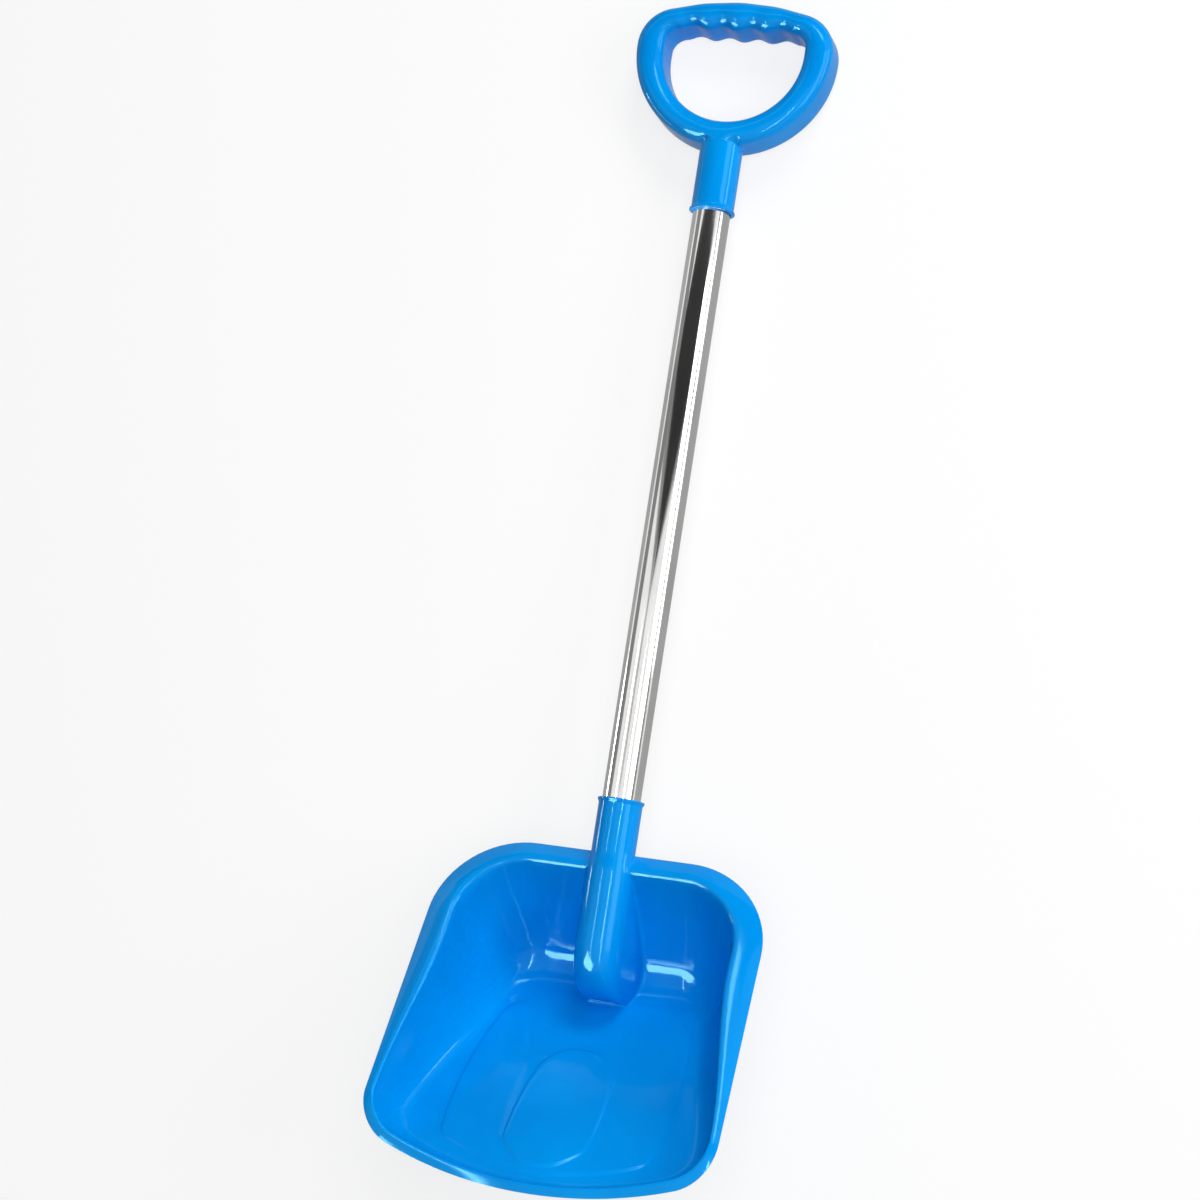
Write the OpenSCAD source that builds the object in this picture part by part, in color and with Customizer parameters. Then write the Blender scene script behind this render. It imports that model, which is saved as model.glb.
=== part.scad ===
// Sand shovel: a moulded scoop and a moulded D-shaped grip on a bright straight tube.
// Millimetres, +Z up. The shovel lies on its back: the scoop opens upward and the grip
// is toward +X. The origin is under the middle, on the surface that the shovel lies on.

/* [Tube] */
// Outside diameter of the tube
tube_d = 19; // [17:0.5:21]
// Wall of the tube
tube_wall = 0.8; // [0.6:0.1:1.5]
// Tube in the open, between the two sockets
tube_free = 300; // [220:1:450]

/* [Sockets] */
// Play between the tube and each socket, on the radius
tube_play = 0.05; // [0.03:0.01:0.15]
// Wall of the sockets
socket_wall = 1.3; // [1.1:0.05:2]
// How far the tube reaches into the scoop
scoop_seat = 60; // [50:1:64]
// How far the tube reaches into the grip
grip_seat = 34; // [28:1:40]
// Closed end of the sockets, past the tube
socket_end = 1.6; // [1:0.1:3]
// How far the mouth bead stands out from the socket
bead_out = 0.8; // [0.4:0.1:1.5]
// Length of the mouth bead
bead_len = 2.6; // [1.5:0.1:5]

/* [Scoop] */
// Angle between the rim of the scoop and the tube
rim_angle = 24.5; // [18:0.5:30]
// Angle between the floor of the scoop and its rim
floor_angle = 20; // [16:0.5:23]
// Length of the scoop along its rim
scoop_len = 178; // [160:1:210]
// Width of the scoop at its rear
rear_w = 166; // [150:1:190]
// Width of the scoop at its front corners
front_w = 175; // [155:1:200]
// Radius of the rear corners, on the outer edge
rear_r = 44; // [34:1:52]
// Radius of the front corners, on the outer edge
front_r = 25; // [18:1:30]
// How far the middle of the front edge runs ahead of its corners
front_bow = 12.5; // [6:0.5:18]
// Thickness of the moulding
scoop_wall = 2.2; // [1.6:0.1:2.8]
// Width of the sloping band round the rim, at the sides
rim_w = 12.5; // [9:0.5:16]
// Width of that band at the rear
rear_rim_w = 10.8; // [8:0.1:15]
// Rise of that band from its outer edge to its crest
rim_rise = 4.5; // [2.5:0.5:7]
// How far the rear wall leans, from the crest to where the floor starts
rear_run = 40; // [34:1:46]
// How far the rim drops at the front edge
front_drop = 7; // [3:0.5:10]
// Socket in the open behind the scoop
socket_out = 26.2; // [21:0.1:30]
// How far the rear edge lies behind the axis of the tube
rear_edge_drop = 2.6; // [1:0.2:6]
// Rise of each of the two raised floor panels
panel_rise = 0.9; // [0.4:0.1:1.5]

/* [Boss] */
// How much wider than the socket the boss is, on the radius
boss_out = 1; // [0.4:0.1:1.8]
// Draft of the sides of the boss, in degrees
boss_draft = 4; // [2:0.5:8]
// Length of the rounded nose of the boss
nose_len = 37; // [30:1:42]

/* [Grip] */
// Socket of the grip, from its mouth to the foot of the D
grip_socket_len = 33.7; // [25:0.1:50]
// Width across the grip
grip_w = 102.4; // [94:0.2:115]
// Width of the hand opening
opening_w = 73.6; // [66:0.2:80]
// Depth of the grip, front to back
grip_depth = 23; // [19:0.5:28]
// Height of the hand opening
opening_h = 48; // [46:0.5:58]
// Thickness of the web under the hand opening
web_h = 12.9; // [10:0.1:18]
// Height of the hand bar at its middle
bar_h = 15.3; // [11:0.1:18]
// Radius of the outer shoulders
shoulder_r = 20; // [15:0.5:23]
// Radius of the upper corners of the opening
opening_r = 8; // [6:0.5:10]
// Rise of the top of the bar, from its shoulders to its middle
bar_crown = 4.5; // [1:0.1:6]
// Rounding of the front edges
edge_r = 4.6; // [3:0.1:5]
// Rounding of the back edges, front to back
back_r = 3; // [1:0.1:5]
// Wall of the grip, which is open at the back
grip_wall = 2.4; // [1.8:0.1:2.8]
// Spacing of the finger grooves under the bar
groove_pitch = 15; // [12:0.2:15.4]
// Depth of the finger grooves
groove_depth = 1.9; // [0.5:0.1:3]
// How far the middle of the grip lies behind the axis of the tube
grip_set = 1; // [0:0.1:2]
// Thickness of the stiffening ribs in the back of the grip
rib_w = 1.8; // [1.2:0.1:3]
// How far those ribs lie inside the back of the grip
rib_inset = 3; // [1:0.5:8]

/* [Screws] */
// Diameter of the fixing screws
screw_d = 3.5; // [3:0.1:4]
// Length of the fixing screws under the head
screw_len = 6.5; // [5:0.1:8]
// Diameter of the screw heads
head_d = 6.8; // [6:0.1:8]
// Height of the screw heads
head_h = 2; // [1.5:0.1:2.4]
// Play round the screws, on the radius
screw_play = 0.05; // [0.03:0.01:0.15]
// Height of the flat pad under each screw head
pad_out = 0.6; // [0.3:0.1:1]
// How far the scoop's screw lies from the mouth of its socket
scoop_screw_at = 12; // [9:0.5:14]
// How far the grip's screw lies from the mouth of its socket
grip_screw_at = 15; // [10:0.5:18]

/* [Hidden] */
$fn = 64;

// overrun of every cut
cut = 1;

// all places below lie along the axis of the tube, from the mouth of the scoop's socket
bore_r = tube_d / 2 + tube_play;
socket_r = bore_r + socket_wall;
bead_r = socket_r + bead_out;
tube_len = scoop_seat + tube_free + grip_seat;
grip_mouth = tube_free;

// scoop: lip at the front, radii of the crest and of the floor, form of the walls
lip_w = 4;
lip_rise = 1.2;
lip_down = 1.5;
lip_run = 5;
side_foot = 7;
crest_r = 34;
floor_r = 14;
front_crest_r = 22;
front_floor_r = 16;
taper_share = 0.3;
taper_end_share = 0.8;
drop_share = 0.8;
side_run_share = 0.27;
wall_foot_share = 0.46;
wall_pull_share = 0.72;
taper_from = scoop_len * taper_share;
taper_to = scoop_len * taper_end_share;
drop_from = scoop_len * drop_share;

// progress over the band and its height there, from the outer edge over the crest
band_shares = [0, 0.3, 0.62, 0.86, 1.02, 1.12];
band_rise_shares = [0, 0.42, 0.8, 1, 0.94, 0.62];
wall_steps = 8;

// floor panels: ends along the scoop, half widths there, bow of the sides, rounding of the rear
panel_rear_shares = [0.31, 0.487];
panel_front_shares = [0.93, 0.912];
panel_rear_w_shares = [0.585, 0.2];
panel_front_w_shares = [0.56, 0.22];
panel_bow_shares = [0.04, 0.023];
panel_round_shares = [0.35, 0.95];
panel_step_w = 1.4;
panel_front_r = 9;

// counts of points along one half of a ring of the scoop
rear_steps = 4;
corner_steps = 7;
side_steps = 7;
front_corner_steps = 5;
front_steps = 5;

// boss round the socket, inside the scoop
boss_r = socket_r + boss_out;
boss_embed = scoop_wall / 2;
boss_arc_steps = 12;
nose_from = scoop_seat + socket_end;
nose_steps = 2;
nose_end_share = 0.985;
nose_width_share = 0.78;
nose_power = 3.2;

// grip
foot_x = grip_mouth + grip_socket_len;
outer_c = foot_x + grip_w / 2;
opening_c = foot_x + web_h + opening_w / 2;
opening_top = foot_x + web_h + opening_h;
bar_top = opening_top + bar_h;
shoulder_top = bar_top - bar_crown;
grip_back = -grip_set - grip_depth / 2;
grip_front = -grip_set + grip_depth / 2;
low_steps = 14;
shoulder_steps = 6;
bar_steps = 16;
edge_steps = 4;
back_steps = 3;
lip_share = 0.8;
face_crown_share = 0.05;
wave_share = 0.35;
rib_stations = [5, 10, 17, 28, 38];

// screws
pad_r = head_d / 2 + pad_out;
seat_z = -socket_r - pad_out;
tip_share = 0.3;
dome_share = 0.45;

function mix(a, b, t) = a + (b - a) * t;
function ease(t) = let (c = max(0, min(1, t))) c * c * (3 - 2 * c);

// plan of the scoop, square to its rim: s runs from the rear edge to the front, y across
function outer_half(s) = mix(rear_w, front_w, s / scoop_len) / 2;
function front_part(s) = ease((s - taper_from) / (taper_to - taper_from));
function band_w(s) = mix(rim_w, lip_w, front_part(s));
function edge_n(s) = -front_drop * ease((s - drop_from) / (scoop_len - drop_from));
function rise_n(s) = mix(rim_rise, lip_rise, front_part(s));
function floor_n(s) = -front_drop - lip_down - (scoop_len - s) * tan(floor_angle);
function side_run(s) = side_foot + (edge_n(s) + rise_n(s) - floor_n(s)) * side_run_share;

// from scoop places to places along the tube
function seat(s, y, n) = [
    -socket_out - s * cos(rim_angle) + n * sin(rim_angle),
    y,
    -rear_edge_drop + s * sin(rim_angle) + n * cos(rim_angle)
];

// one half of a rounded plan, from the middle of the rear to the middle of the front
function half_plan(sr, rr, sf, rf, half) =
    let (
        wr = half(sr + rr),
        lean = atan((half(sf - front_bow - rf) - rf) / (2 * front_bow)),
        se = sf - front_bow - rf * sin(lean),
        wf = half(se),
        yf = wf - rf + rf * cos(lean)
    )
    concat(
        [for (i = [0 : rear_steps - 1]) [sr, (wr - rr) * i / rear_steps]],
        [for (i = [0 : corner_steps])
            let (a = 90 * i / corner_steps, s = sr + rr * (1 - cos(a)))
            [s, (wr - rr + rr * sin(a)) * half(s) / wr]],
        [for (i = [1 : side_steps - 1])
            let (s = mix(sr + rr, se, i / side_steps)) [s, half(s)]],
        [for (i = [0 : front_corner_steps])
            let (a = lean * i / front_corner_steps)
            [se + rf * sin(a), wf - rf + rf * cos(a)]],
        [for (i = [1 : front_steps])
            let (t = 1 - i / front_steps) [sf - front_bow * t * t, yf * t]]
    );

function whole(h) = concat(h, [for (i = [len(h) - 2 : -1 : 1]) [h[i].x, -h[i].y]]);

function ring(sr, rr, sf, rf, half, height) =
    [for (p = whole(half_plan(sr, rr, sf, rf, half))) seat(p.x, p.y, height(p.x))];

// rings of the sloping band, from the outer edge over the crest
function band_ring(i) =
    let (b = band_shares[i], up = band_rise_shares[i])
    ring(
        b * rear_rim_w, mix(rear_r, crest_r, b),
        scoop_len - b * lip_w, mix(front_r, front_crest_r, b),
        function (s) outer_half(s) - b * band_w(s),
        function (s) edge_n(s) + rise_n(s) * up
    );

// rings of the wall and of the hollow curve at its foot
last_band = len(band_shares) - 1;
function bend(t, p1, p2) = 3 * (1 - t) * (1 - t) * t * p1 + 3 * (1 - t) * t * t * p2 + t * t * t;
function wall_ring(i) =
    let (
        t = i / wall_steps,
        b = band_shares[last_band],
        up = band_rise_shares[last_band],
        c = bend(t, wall_foot_share * wall_pull_share, mix(1, wall_foot_share, wall_pull_share)),
        e = bend(t, wall_pull_share, 1)
    )
    ring(
        b * rear_rim_w + c * rear_run, mix(crest_r, floor_r, c),
        scoop_len - b * lip_w - c * lip_run, mix(front_crest_r, front_floor_r, c),
        function (s) outer_half(s) - b * band_w(s) - c * side_run(s),
        function (s) mix(edge_n(s) + rise_n(s) * up, floor_n(s), e)
    );

// rings at the foot and at the top of the step round a floor panel
function panel_ring(i, top) =
    let (
        d = top ? panel_step_w : 0,
        sr = panel_rear_shares[i] * scoop_len + d,
        sf = panel_front_shares[i] * scoop_len - d,
        wr = panel_rear_w_shares[i] * rear_w / 2 - d,
        wf = panel_front_w_shares[i] * front_w / 2 - d,
        bow = panel_bow_shares[i] * front_w,
        up = (top ? i + 1 : i) * panel_rise
    )
    ring(
        sr, wr * panel_round_shares[i], sf, panel_front_r,
        function (s) let (t = (s - sr) / (sf - sr)) mix(wr, wf, t) + bow * 4 * t * (1 - t),
        function (s) floor_n(s) + up
    );

scoop_rings = concat(
    [for (i = [0 : last_band]) band_ring(i)],
    [for (i = [1 : wall_steps]) wall_ring(i)],
    [for (i = [0 : 1], top = [false, true]) panel_ring(i, top)]
);
ring_n = len(scoop_rings[0]);
rings_n = len(scoop_rings);
function middle(r) = [for (k = [0 : 2]) (r[0][k] + r[len(r) / 2][k]) / 2];

// the same skin, moved square to itself by the thickness of the moulding
function square_to(k, j) =
    let (
        round = scoop_rings[k][(j + 1) % ring_n] - scoop_rings[k][(j + ring_n - 1) % ring_n],
        inward = scoop_rings[min(k + 1, rings_n - 1)][j] - scoop_rings[max(k - 1, 0)][j],
        v = cross(inward, round)
    )
    v / norm(v);
under_rings = [for (k = [0 : rings_n - 1]) [for (j = [0 : ring_n - 1])
    scoop_rings[k][j] + square_to(k, j) * scoop_wall]];

function joined(rings) = [for (r = rings) each r];
function band_faces(from, to, flip) =
    [for (j = [0 : ring_n - 1]) let (a = from + j, b = from + (j + 1) % ring_n, c = to + j,
        d = to + (j + 1) % ring_n) each flip ? [[a, b, c], [b, d, c]] : [[a, c, b], [b, c, d]]];
function fan_faces(from, tip, flip) =
    [for (j = [0 : ring_n - 1]) let (a = from + j, b = from + (j + 1) % ring_n)
        flip ? [a, b, tip] : [a, tip, b]];

module scoop_shell() {
    top_n = rings_n * ring_n;
    top_tip = 2 * top_n;
    inner = (rings_n - 1) * ring_n;
    polyhedron(
        points = concat(
            joined(scoop_rings), joined(under_rings),
            [middle(scoop_rings[rings_n - 1]), middle(under_rings[rings_n - 1])]
        ),
        faces = concat(
            [for (k = [0 : rings_n - 2]) each band_faces(k * ring_n, (k + 1) * ring_n, false)],
            fan_faces(inner, top_tip, false),
            [for (k = [0 : rings_n - 2])
                each band_faces(top_n + k * ring_n, top_n + (k + 1) * ring_n, true)],
            fan_faces(top_n + inner, top_tip + 1, true),
            band_faces(0, top_n, true)
        )
    );
}

// boss: stations follow the middle of the rear wall down to the floor
nose_tip_x = -nose_from - nose_len;
floor_start = band_shares[last_band] * rear_rim_w + rear_run;
nose_tip_s =
    (-socket_out + floor_n(0) * sin(rim_angle) - nose_tip_x)
    / (cos(rim_angle) - tan(floor_angle) * sin(rim_angle));
boss_path = concat(
    [for (k = [last_band : last_band + wall_steps]) scoop_rings[k][0]],
    [for (i = [1 : nose_steps])
        let (s = mix(floor_start, nose_tip_s, i / nose_steps)) seat(s, 0, floor_n(s))]
);

function boss_section(p, inset, low) =
    let (
        r = boss_r - inset,
        z = min(p.z, -boss_embed) - boss_embed - low,
        t = max(0, min(1, (-p.x - nose_from) / (nose_len - inset))) * nose_end_share,
        kz = pow(1 - pow(t, nose_power), 1 / nose_power),
        ky = sqrt(1 - (1 - nose_width_share * nose_width_share) * t * t * t * t),
        foot = r * cos(boss_draft) + (-r * sin(boss_draft) - z) * tan(boss_draft)
    )
    concat(
        [[p.x, foot * ky, z]],
        [for (i = [0 : boss_arc_steps])
            let (a = mix(-boss_draft, 180 + boss_draft, i / boss_arc_steps))
            [p.x, r * cos(a) * ky, mix(z, r * sin(a), kz)]],
        [[p.x, -foot * ky, z]]
    );

module loft(sections) {
    n = len(sections[0]);
    m = len(sections);
    polyhedron(
        points = joined(sections),
        faces = concat(
            [for (k = [0 : m - 2], j = [0 : n - 1]) let (a = k * n + j, b = k * n + (j + 1) % n)
                each [[a, b, a + n], [b, b + n, a + n]]],
            [[for (j = [n - 1 : -1 : 0]) j]],
            [[for (j = [0 : n - 1]) (m - 1) * n + j]]
        )
    );
}

module scoop_boss() {
    loft([for (p = boss_path) boss_section(p, 0, 0)]);
}

// hollow nose of the boss, past the end of the socket and open at the back of the scoop
pocket_path = [for (p = boss_path)
    if (p.x < -nose_from - scoop_wall && p.x > nose_tip_x + scoop_wall) p];
module boss_pocket() {
    loft([for (p = pocket_path) boss_section(p, scoop_wall, scoop_wall + cut)]);
}

module along_tube(x) {
    translate([x, 0, 0]) rotate([0, 90, 0]) children();
}

// socket wall with its mouth bead; the mouth is at x and the socket runs along dir
module socket(x, len, dir) {
    along_tube(dir > 0 ? x : x - len) cylinder(h = len, r = socket_r);
    along_tube(dir > 0 ? x : x - bead_len) cylinder(
        h = bead_len, r1 = dir > 0 ? bead_r : socket_r, r2 = dir > 0 ? socket_r : bead_r);
}

module socket_bore(x, len, dir) {
    along_tube(dir > 0 ? x - cut : x - len) cylinder(h = len + cut, r = bore_r);
}

module screw_pad(x) {
    translate([x, 0, seat_z]) cylinder(h = socket_r - bore_r / 2, r = pad_r);
}

module screw_hole(x) {
    translate([x, 0, seat_z - cut]) cylinder(h = socket_r, r = screw_d / 2 + screw_play);
}

// heel and grip decide how the shovel lies
heel = [for (r = under_rings) each r];
grip_low = [
    [bar_top - grip_wall * lip_share, grip_back],
    [grip_mouth + grip_screw_at, seat_z - head_h],
    [grip_mouth, -bead_r]
];
rest_slope = min([for (g = grip_low) max([for (p = heel) (g.y - p.z) / (g.x - p.x)])]);
rest_tilt = atan(rest_slope);
function turned_x(x, z) = x * cos(rest_tilt) + z * sin(rest_tilt);
function turned_z(x, z) = z * cos(rest_tilt) - x * sin(rest_tilt);
rest_lift = -min([for (p = heel) turned_z(p.x, p.z)]);
near_x = min([for (p = concat(scoop_rings[0], under_rings[0])) turned_x(p.x, p.z)]);
far_x = turned_x(bar_top, grip_front - grip_depth * face_crown_share - edge_r);
rest_shift = -(near_x + far_x) / 2;

module lying() {
    translate([rest_shift, 0, rest_lift]) rotate([0, rest_tilt, 0]) children();
}

module scoop() {
    color([0.02, 0.5, 0.9]) lying() difference() {
        union() {
            difference() {
                union() {
                    scoop_shell();
                    scoop_boss();
                }
                boss_pocket();
            }
            socket(0, scoop_seat + socket_end, -1);
            screw_pad(-scoop_screw_at);
        }
        socket_bore(0, scoop_seat, -1);
        screw_hole(-scoop_screw_at);
    }
}

module shaft_tube() {
    color([0.82, 0.82, 0.8]) lying() difference() {
        along_tube(-scoop_seat) cylinder(h = tube_len, r = tube_d / 2);
        along_tube(-scoop_seat - cut) cylinder(h = tube_len + 2 * cut, r = tube_d / 2 - tube_wall);
        screw_hole(-scoop_screw_at);
        screw_hole(grip_mouth + grip_screw_at);
    }
}

// grip: the ring of the D, from its foot round one side to the middle of the bar
function groove(y) =
    abs(y) < 2 * groove_pitch ? groove_depth * (1 - cos(360 * y / groove_pitch)) / 2 : 0;
inner_r = opening_w / 2;
outer_r = grip_w / 2;
half_d = concat(
    [for (i = [0 : low_steps]) let (a = 90 * i / low_steps) [
        [opening_c - inner_r * cos(a), inner_r * sin(a)],
        [outer_c - outer_r * cos(a), outer_r * sin(a)], 0]],
    [for (i = [0 : shoulder_steps]) let (a = 90 * i / shoulder_steps) [
        [opening_top - opening_r * (1 - sin(a)), inner_r - opening_r * (1 - cos(a))],
        [shoulder_top - shoulder_r * (1 - sin(a)), outer_r - shoulder_r * (1 - cos(a))], 0]],
    [for (i = [1 : bar_steps])
        let (t = 1 - i / bar_steps, y = (inner_r - opening_r) * t) [
        [opening_top + groove(y), y],
        [shoulder_top + bar_crown * (1 - t * t), (outer_r - shoulder_r) * t],
        groove(y) * wave_share]]
);
function mirrored(d) = [[d[0].x, -d[0].y], [d[1].x, -d[1].y], d[2]];
d_ring = concat(half_d, [for (i = [len(half_d) - 2 : -1 : 1]) mirrored(half_d[i])]);

// section of the D: rounded toward the front, open at the back
function d_profile(w, front) =
    let (
        crown = grip_depth * face_crown_share,
        deep = edge_r - grip_wall,
        roof = front - grip_wall,
        lip = [for (i = [0 : back_steps]) let (a = 90 * i / back_steps)
            [grip_wall * lip_share * (1 - cos(a)), grip_back + back_r * (1 - sin(a))]]
    )
    concat(
        [for (i = [back_steps : -1 : 0]) lip[i]],
        [for (i = [0 : edge_steps]) let (a = 90 * i / edge_steps)
            [edge_r * (1 - cos(a)), front - crown - edge_r * (1 - sin(a))]],
        [[w / 2, front]],
        [for (i = [edge_steps : -1 : 0]) let (a = 90 * i / edge_steps)
            [w - edge_r * (1 - cos(a)), front - crown - edge_r * (1 - sin(a))]],
        [for (p = lip) [w - p.x, p.y]],
        [[w - grip_wall, grip_back], [w - grip_wall, roof - crown - deep],
            [w - grip_wall - deep, roof - crown], [grip_wall + deep, roof - crown],
            [grip_wall, roof - crown - deep], [grip_wall, grip_back]]
    );

function d_section(d) =
    let (w = norm(d[1] - d[0]), e = (d[1] - d[0]) / w)
    [for (p = d_profile(w, grip_front - d[2])) [d[0].x + e.x * p.x, d[0].y + e.y * p.x, p.y]];

module grip_ring() {
    sections = [for (d = d_ring) d_section(d)];
    n = len(sections[0]);
    m = len(sections);
    polyhedron(
        points = joined(sections),
        faces = [for (k = [0 : m - 1], j = [0 : n - 1])
            let (a = k * n + j, b = k * n + (j + 1) % n, c = ((k + 1) % m) * n + j,
                d = ((k + 1) % m) * n + (j + 1) % n)
            each [[a, b, c], [b, d, c]]]
    );
}

// a stiffening rib across the open back, at one station of the D
module grip_rib(d) {
    w = norm(d[1] - d[0]);
    e = (d[1] - d[0]) / w;
    span = w - grip_wall;
    deep = grip_depth - rib_inset - grip_wall - grip_depth * face_crown_share + grip_wall / 2;
    translate([(d[0].x + d[1].x) / 2, (d[0].y + d[1].y) / 2, grip_back + rib_inset])
        rotate([0, 0, atan2(e.y, e.x)])
            translate([-span / 2, -rib_w / 2, 0]) cube([span, rib_w, deep]);
}

module grip() {
    color([0.02, 0.52, 0.92]) lying() difference() {
        union() {
            grip_ring();
            socket(grip_mouth, grip_seat + socket_end, 1);
            screw_pad(grip_mouth + grip_screw_at);
            for (k = rib_stations) {
                grip_rib(d_ring[k]);
                grip_rib(d_ring[(len(d_ring) - k) % len(d_ring)]);
            }
        }
        socket_bore(grip_mouth, grip_seat, 1);
        screw_hole(grip_mouth + grip_screw_at);
    }
}

// self-tapping screw, driven from the back through the socket into the tube
module tube_screw(x) {
    tip = screw_d * tip_share;
    dome = head_h * dome_share;
    color([0.7, 0.7, 0.7]) lying() translate([x, 0, seat_z]) {
        cylinder(h = screw_len - tip, r = screw_d / 2);
        translate([0, 0, screw_len - tip]) cylinder(h = tip, r1 = screw_d / 2, r2 = screw_d / 4);
        translate([0, 0, dome - head_h]) cylinder(h = head_h - dome, r = head_d / 2);
        translate([0, 0, -head_h]) cylinder(h = dome, r1 = head_d / 3, r2 = head_d / 2);
    }
}

module scoop_screw() {
    tube_screw(-scoop_screw_at);
}

module grip_screw() {
    tube_screw(grip_mouth + grip_screw_at);
}

scoop();
shaft_tube();
grip();
scoop_screw();
grip_screw();
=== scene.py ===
import bisect
import math

import bmesh
import bpy
from mathutils import Matrix, Vector


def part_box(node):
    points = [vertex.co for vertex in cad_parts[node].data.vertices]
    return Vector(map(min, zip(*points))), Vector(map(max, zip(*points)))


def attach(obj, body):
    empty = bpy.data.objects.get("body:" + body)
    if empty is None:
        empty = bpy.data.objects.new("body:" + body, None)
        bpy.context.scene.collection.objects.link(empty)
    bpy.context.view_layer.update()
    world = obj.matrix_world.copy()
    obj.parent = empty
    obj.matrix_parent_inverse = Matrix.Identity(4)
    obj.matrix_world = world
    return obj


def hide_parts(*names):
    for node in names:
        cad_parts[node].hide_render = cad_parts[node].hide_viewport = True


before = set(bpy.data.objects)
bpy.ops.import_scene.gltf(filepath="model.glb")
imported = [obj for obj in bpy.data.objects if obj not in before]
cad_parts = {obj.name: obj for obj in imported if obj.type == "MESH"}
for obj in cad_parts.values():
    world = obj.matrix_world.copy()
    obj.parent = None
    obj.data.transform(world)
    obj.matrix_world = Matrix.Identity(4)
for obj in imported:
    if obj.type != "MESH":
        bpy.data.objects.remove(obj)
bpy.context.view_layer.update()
scene = bpy.context.scene
mm = 0.001
weldGap = 0.0001       # mm
sharpTurn = 38.0       # an edge that turns more than this stays sharp, in degrees

# bright tube that joins the two mouldings, sizes in mm
tube = {
    "diameter": 19.0,
    "wall": 0.8,
    "free": 300.0,       # in the open, between the two sockets
    "inScoop": 60.0,
    "inGrip": 34.0,
    "endRound": 0.3,
    "endSteps": 3,
    "sides": 160,
}
tubeRadius = tube["diameter"] / 2
tubeLength = tube["inScoop"] + tube["free"] + tube["inGrip"]

# pieces are built along the tube, in mm from the mouth of the scoop's socket,
# and the tube's own box says how that line lies
tubeLow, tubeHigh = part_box("shaft_tube")
tubeDrop = (tubeHigh.z - tubeLow.z) / mm
tilt = (math.asin(tubeDrop / math.hypot(tubeLength, tube["diameter"]))
        - math.atan(tube["diameter"] / tubeLength))
lying = (Matrix.Translation((tubeLow + tubeHigh) / 2) @ Matrix.Rotation(tilt, 4, "Y")
         @ Matrix.Scale(mm, 4) @ Matrix.Translation((tube["inScoop"] - tubeLength / 2, 0, 0)))
print("tube lies at", round(math.degrees(tilt), 3), "degrees")


def mix(a, b, t):
    return a + (b - a) * t


def ease(t):
    t = max(0.0, min(1.0, t))
    return t * t * (3 - 2 * t)


def ramp(value, start, end):
    return ease((value - start) / (end - start))


def flowThrough(values, steps):
    # smooth run of numbers through the given ones
    run = []
    for i in range(len(values) - 1):
        before, start = values[max(i - 1, 0)], values[i]
        end, after = values[i + 1], values[min(i + 2, len(values) - 1)]
        for k in range(steps):
            t = k / steps
            run.append(0.5 * (2 * start + (end - before) * t
                              + (2 * before - 5 * start + 4 * end - after) * t * t
                              + (3 * start - before - 3 * end + after) * t ** 3))
    return run + [values[-1]]


def ringEdges(bm, ring):
    return [bm.edges.get((a, b)) for a, b in zip(ring, ring[1:] + ring[:1])]


def startRing(bm, places):
    ring = list(bmesh.ops.create_circle(bm, segments=len(places), radius=1)["verts"])
    for vert, place in zip(ring, places):
        vert.co = place
    return ring


def extrudeRing(bm, ring, places):
    made = bmesh.ops.extrude_edge_only(bm, edges=ringEdges(bm, ring))
    fresh = {part for part in made["geom"] if isinstance(part, bmesh.types.BMVert)}
    following = []
    for vert, place in zip(ring, places):
        grown = next(e.other_vert(vert) for e in vert.link_edges if e.other_vert(vert) in fresh)
        grown.co = place
        following.append(grown)
    return following


def extrudeThrough(bm, rings):
    ring = startRing(bm, rings[0])
    for places in rings[1:]:
        ring = extrudeRing(bm, ring, places)
    return ring


def spinProfile(profile, sides, closed=False):
    # profile of (place along the tube, radius), turned about the tube's axis
    bm = bmesh.new()
    verts = [bm.verts.new((along, 0, radius)) for along, radius in profile]
    pairs = list(zip(verts, verts[1:] + verts[:1])) if closed else list(zip(verts, verts[1:]))
    edges = [bm.edges.new(pair) for pair in pairs]
    bmesh.ops.spin(bm, geom=verts + edges, cent=(0, 0, 0), axis=(1, 0, 0),
                   angle=math.tau, steps=sides, use_merge=True)
    return closeUp(bm)


def closeUp(bm):
    bmesh.ops.remove_doubles(bm, verts=bm.verts, dist=weldGap)
    bmesh.ops.recalc_face_normals(bm, faces=bm.faces)
    return bm


def addInto(bm, part):
    mesh = bpy.data.meshes.new("part")
    part.to_mesh(mesh)
    part.free()
    bm.from_mesh(mesh)
    bpy.data.meshes.remove(mesh)


def roundCorner(centre, radius, fromTurn, toTurn, steps):
    # points of an arc, turns in degrees
    return [(centre[0] + radius * math.cos(math.radians(mix(fromTurn, toTurn, i / steps))),
             centre[1] + radius * math.sin(math.radians(mix(fromTurn, toTurn, i / steps))))
            for i in range(steps + 1)]


def finishPiece(bm, name, finish, cadNode):
    bmesh.ops.transform(bm, matrix=lying, verts=bm.verts)
    for face in bm.faces:
        face.smooth = True
    mesh = bpy.data.meshes.new(name)
    bm.to_mesh(mesh)
    bm.free()
    mesh.set_sharp_from_angle(angle=math.radians(sharpTurn))
    mesh.materials.append(finish)
    piece = bpy.data.objects.new(name, mesh)
    scene.collection.objects.link(piece)
    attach(piece, "root")
    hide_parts(cadNode)
    print("piece", name, "faces", len(mesh.polygons))


# nodes that the finishes are made of
def feed(tree, node, links):
    # a link from another node's output, or a plain value
    for plug, source in links.items():
        if isinstance(source, bpy.types.NodeSocket):
            tree.links.new(source, node.inputs[plug])
        else:
            node.inputs[plug].default_value = source


def addNode(tree, kind, links, **settings):
    node = tree.nodes.new(kind)
    for key, value in settings.items():
        setattr(node, key, value)
    feed(tree, node, links)
    return node


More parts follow.
